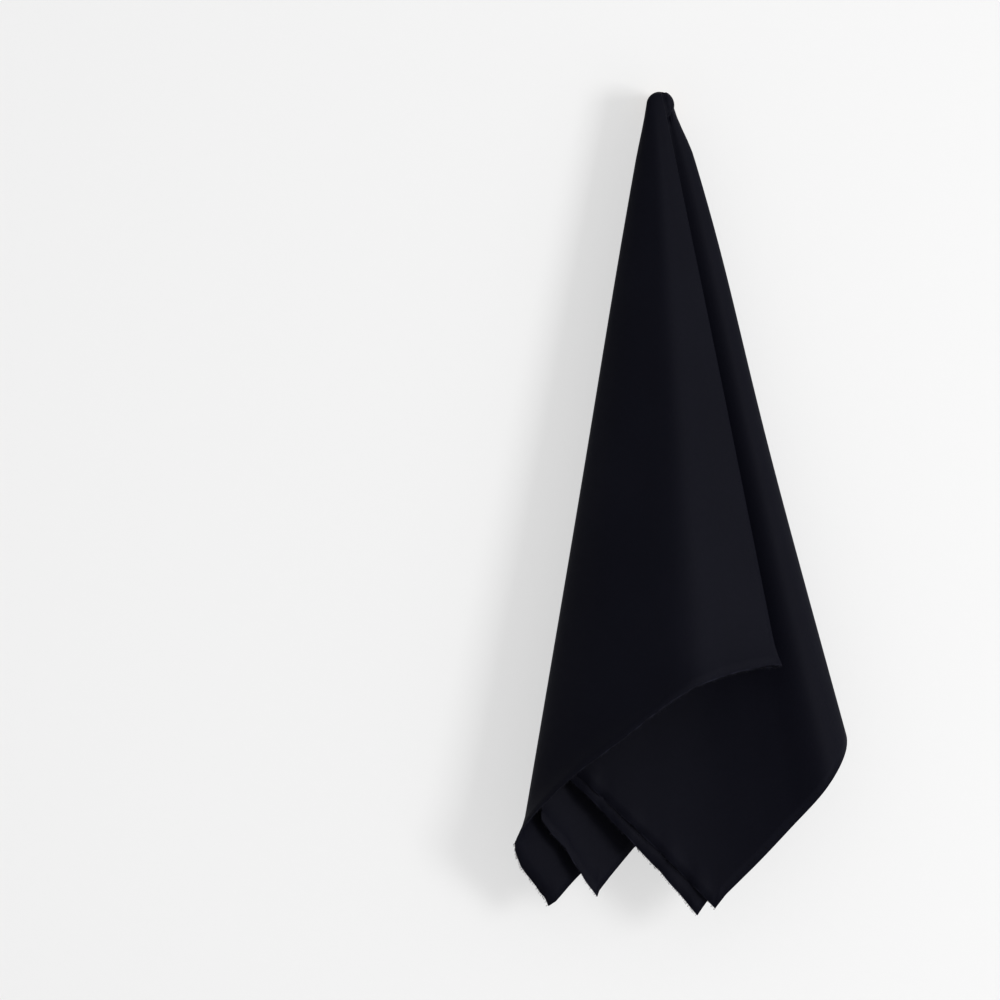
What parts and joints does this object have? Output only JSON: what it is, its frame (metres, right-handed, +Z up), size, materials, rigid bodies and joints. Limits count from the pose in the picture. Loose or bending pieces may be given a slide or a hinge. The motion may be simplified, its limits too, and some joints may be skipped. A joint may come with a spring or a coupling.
{
  "type": "hung fabric length",
  "caption": "Cut length of plain dark woven cloth, doubled along its fold and hung in long soft folds over a round wooden wall peg.",
  "frame": {"origin": "on the peg's axis, in the plane of the wall's face", "axes": "+Z up, the way the cloth hangs down from; +Y into the wall along the peg; +X to the right as seen from the room"},
  "size_m": [0.3175, 0.1989, 0.7977],
  "materials": {
    "cloth": "matte dark navy woven cotton",
    "turned_wood": "sanded and waxed beech",
    "zinc_screw": "bright zinc plate",
    "plug_plastic": "moulded grey nylon"
  },
  "bodies": {
    "peg": {"wall_peg": "turned_wood", "dowel_screw": "zinc_screw", "wall_plug": "plug_plastic"},
    "cloth": {"fabric_length": "cloth"}
  },
  "joints": [
    {"name": "fabric_draws_off", "type": "slide", "parent": "peg", "child": "cloth", "axis": [0, -1, 0], "range_m": [0, 0.06]}
  ]
}
